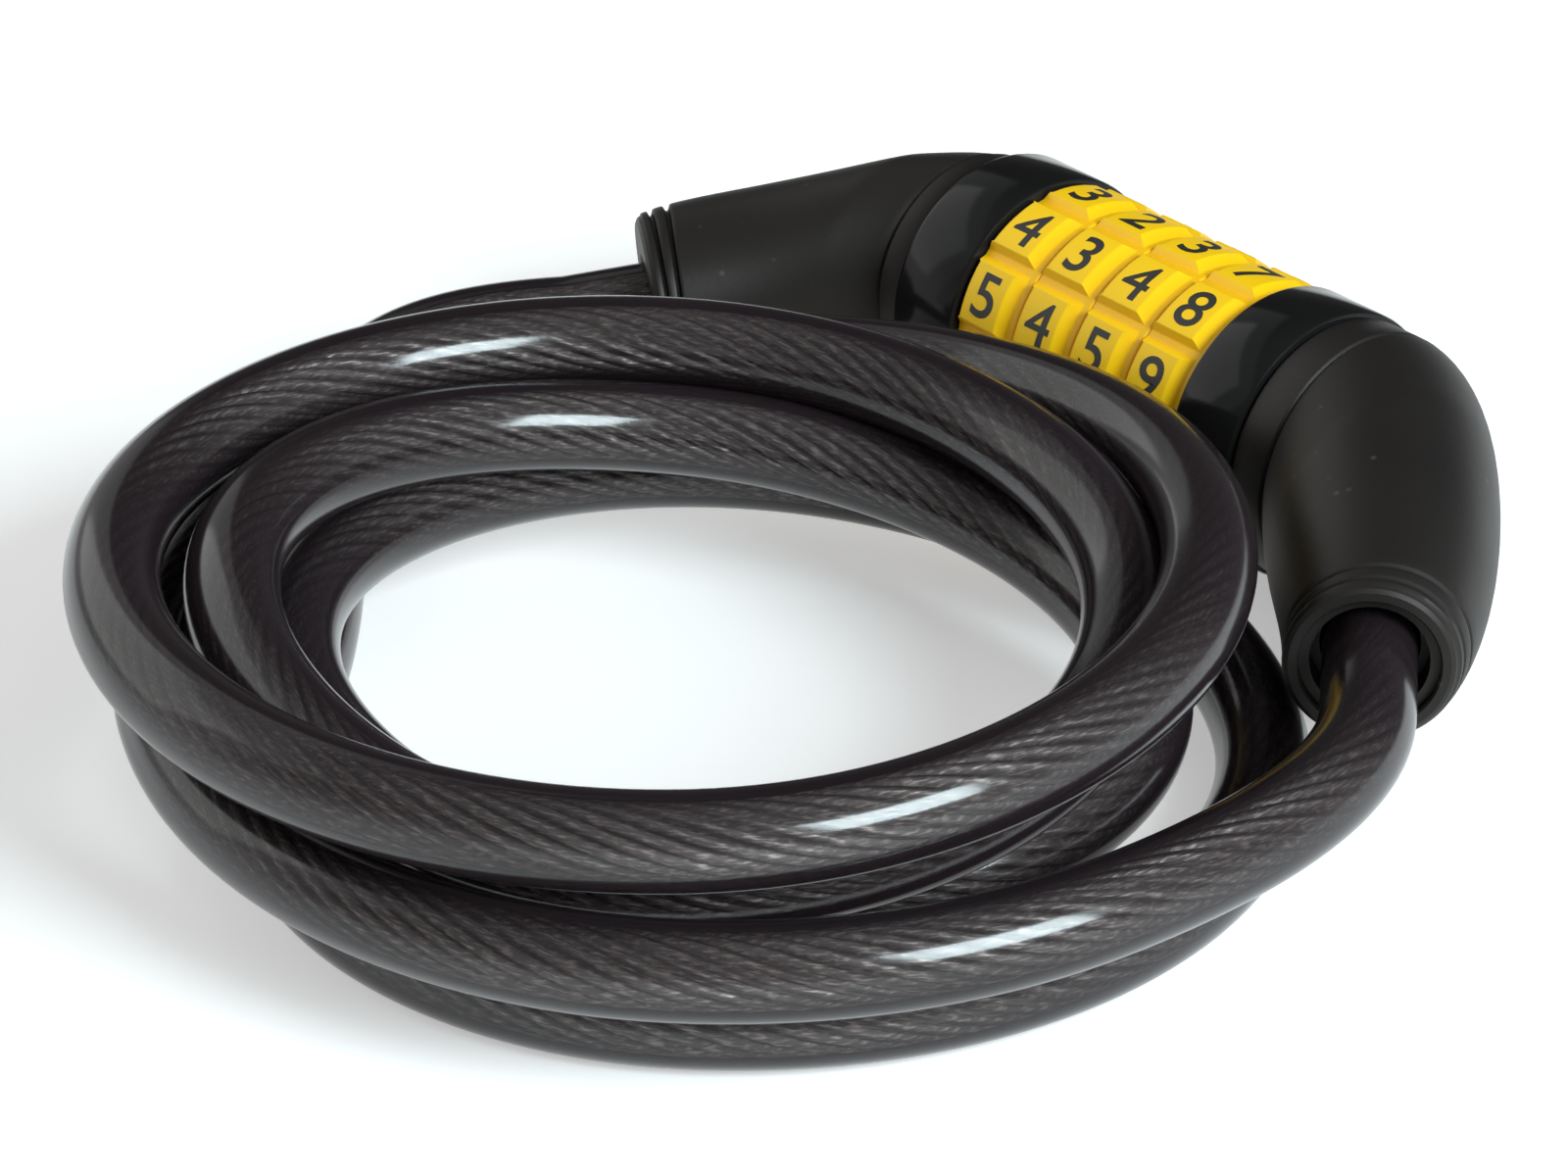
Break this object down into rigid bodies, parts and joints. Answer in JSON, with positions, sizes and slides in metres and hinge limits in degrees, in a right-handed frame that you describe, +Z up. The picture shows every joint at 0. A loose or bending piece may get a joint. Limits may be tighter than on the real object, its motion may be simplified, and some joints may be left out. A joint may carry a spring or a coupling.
{
  "type": "bicycle cable lock",
  "caption": "Bicycle cable lock: a combination barrel with turning dials between two elbow housings, a slotted plug pin that pulls out, and a jacketed cable wound in a coil.",
  "frame": {"origin": "on the surface the lock lies on, at the middle of the boot-side ring's bottom facet", "axes": "+X along the barrel from the plug to the boot, +Z up, the coil towards -Y"},
  "size_m": [0.1633, 0.165, 0.0344],
  "materials": {
    "dial": "satin moulded yellow with black figures",
    "ring_gloss": "glossy black",
    "housing": "soft matte black",
    "jacket": "clear smoky jacket over twisted steel strands",
    "steel": "bright turned steel",
    "zinc": "plain die casting",
    "brass": "turned"
  },
  "bodies": {
    "barrel": {"barrel_core": "zinc", "boot_side_ring": "ring_gloss", "plug_side_ring": "ring_gloss", "snap_ring": "steel", "boot": "housing", "boot_cable_slug": "steel", "boot_cross_pin": "steel", "boot_retaining_pin": "steel", "detent_ball_1": "steel", "detent_ball_2": "steel", "detent_ball_3": "steel", "detent_ball_4": "steel", "detent_spring_1": "steel", "detent_spring_2": "steel", "detent_spring_3": "steel", "detent_spring_4": "steel", "cable_coil": "jacket"},
    "first_dial": {"dial_1": "dial", "gate_ring_1": "brass"},
    "second_dial": {"dial_2": "dial", "gate_ring_2": "brass"},
    "third_dial": {"dial_3": "dial", "gate_ring_3": "brass"},
    "fourth_dial": {"dial_4": "dial", "gate_ring_4": "brass"},
    "plug": {"plug_pin": "steel", "plug_collar": "housing", "plug_cover": "housing", "plug_cable_slug": "steel", "plug_cross_pin": "steel", "cable_plug_lead": "jacket"}
  },
  "joints": [
    {"name": "first_dial_turn", "type": "hinge", "parent": "barrel", "child": "first_dial", "pos_m": [-0.03712, 0, 0.01585], "axis": [1, 0, 0], "continuous": true},
    {"name": "second_dial_turn", "type": "hinge", "parent": "barrel", "child": "second_dial", "pos_m": [-0.02788, 0, 0.01585], "axis": [1, 0, 0], "continuous": true},
    {"name": "third_dial_turn", "type": "hinge", "parent": "barrel", "child": "third_dial", "pos_m": [-0.01862, 0, 0.01585], "axis": [1, 0, 0], "continuous": true},
    {"name": "fourth_dial_turn", "type": "hinge", "parent": "barrel", "child": "fourth_dial", "pos_m": [-0.00937, 0, 0.01585], "axis": [1, 0, 0], "continuous": true},
    {"name": "plug_slide", "type": "slide", "parent": "barrel", "child": "plug", "axis": [-1, 0, 0], "range_m": [0, 0.046], "deforming": ["cable_plug_lead"]}
  ]
}
